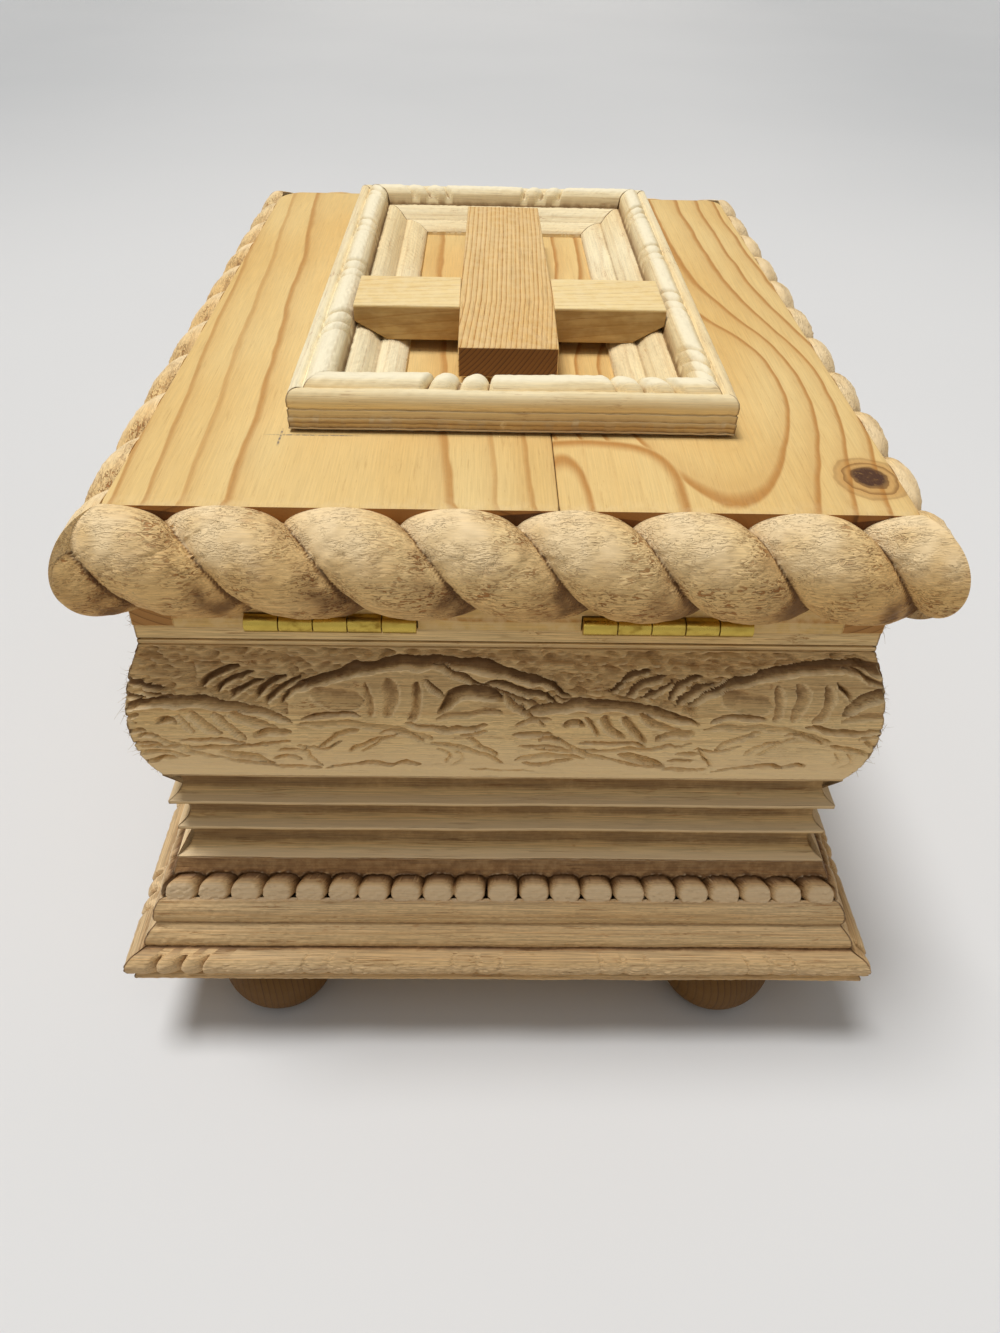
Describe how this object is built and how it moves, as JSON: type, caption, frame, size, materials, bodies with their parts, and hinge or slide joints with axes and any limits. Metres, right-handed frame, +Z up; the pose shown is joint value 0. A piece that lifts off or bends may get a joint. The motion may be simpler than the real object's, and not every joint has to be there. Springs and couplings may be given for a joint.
{
  "type": "wooden prayer box",
  "caption": "Moulded wooden box on ball feet with a hinged lid edged in rope moulding and topped by a framed cross.",
  "frame": {"origin": "centre of the footprint on the ground, under the middle of the box", "axes": "+X right along the hinge side, +Y from the hinge side to the far side, +Z up"},
  "size_m": [0.2764, 0.3674, 0.2431],
  "materials": {
    "brass_leaf": "bright brass leaf, lightly tarnished",
    "brass_pin": "brass pin",
    "brass_screw": "brass countersunk screw",
    "turned_foot": "turned ball, brown stained and waxed",
    "dowel": "plain dowel",
    "carved_pine": "raw pine, pressed and carved scrolls and leaves",
    "cove_pine": "raw pine, run with three coves",
    "strip_pine": "raw pine, carved in lobes, grime between them",
    "base_pine": "raw pine bead and reel moulding",
    "rope_pine": "raw pine, carved rope, fuzzy grain",
    "frame_pine": "pale raw pine bead and reel moulding",
    "plank_left": "raw pine board with straight orange grain",
    "plank_right": "raw pine board with arched orange grain and one dark knot",
    "cross_upright": "raw pine with fine straight rings",
    "cross_bar": "pale raw pine",
    "rim_pine": "raw pine, end grain showing at the corners",
    "wall_pine": "raw pine board",
    "board_pine": "raw pine board"
  },
  "bodies": {
    "case": {"bottom_board": "board_pine", "hinge_wall": "wall_pine", "far_wall": "wall_pine", "left_wall": "wall_pine", "right_wall": "wall_pine", "carved_moulding_hinge": "carved_pine", "carved_moulding_right": "carved_pine", "carved_moulding_far": "carved_pine", "carved_moulding_left": "carved_pine", "cove_moulding_hinge": "cove_pine", "cove_moulding_right": "cove_pine", "cove_moulding_far": "cove_pine", "cove_moulding_left": "cove_pine", "lobe_strip_hinge": "strip_pine", "lobe_strip_right": "strip_pine", "lobe_strip_far": "strip_pine", "lobe_strip_left": "strip_pine", "base_moulding_hinge": "base_pine", "base_moulding_right": "base_pine", "base_moulding_far": "base_pine", "base_moulding_left": "base_pine", "foot_near_left": "turned_foot", "foot_near_right": "turned_foot", "foot_far_left": "turned_foot", "foot_far_right": "turned_foot", "foot_dowels": "dowel", "case_leaf_left": "brass_leaf", "case_leaf_right": "brass_leaf", "hinge_pin_left": "brass_pin", "hinge_pin_right": "brass_pin", "case_screws": "brass_screw"},
    "lid": {"lid_plank_left": "plank_left", "lid_plank_right": "plank_right", "hinge_rim": "rim_pine", "far_rim": "rim_pine", "left_rim": "rim_pine", "right_rim": "rim_pine", "rope_hinge": "rope_pine", "rope_right": "rope_pine", "rope_far": "rope_pine", "rope_left": "rope_pine", "frame_rail_near": "frame_pine", "frame_rail_right": "frame_pine", "frame_rail_far": "frame_pine", "frame_rail_left": "frame_pine", "cross_upright": "cross_upright", "cross_bar": "cross_bar", "lid_leaf_left": "brass_leaf", "lid_leaf_right": "brass_leaf", "lid_screws": "brass_screw"}
  },
  "joints": [
    {"name": "lid_hinge", "type": "hinge", "parent": "case", "child": "lid", "pos_m": [0, -0.1597, 0.1873], "axis": [1, 0, 0], "range_deg": [0, 130]}
  ]
}
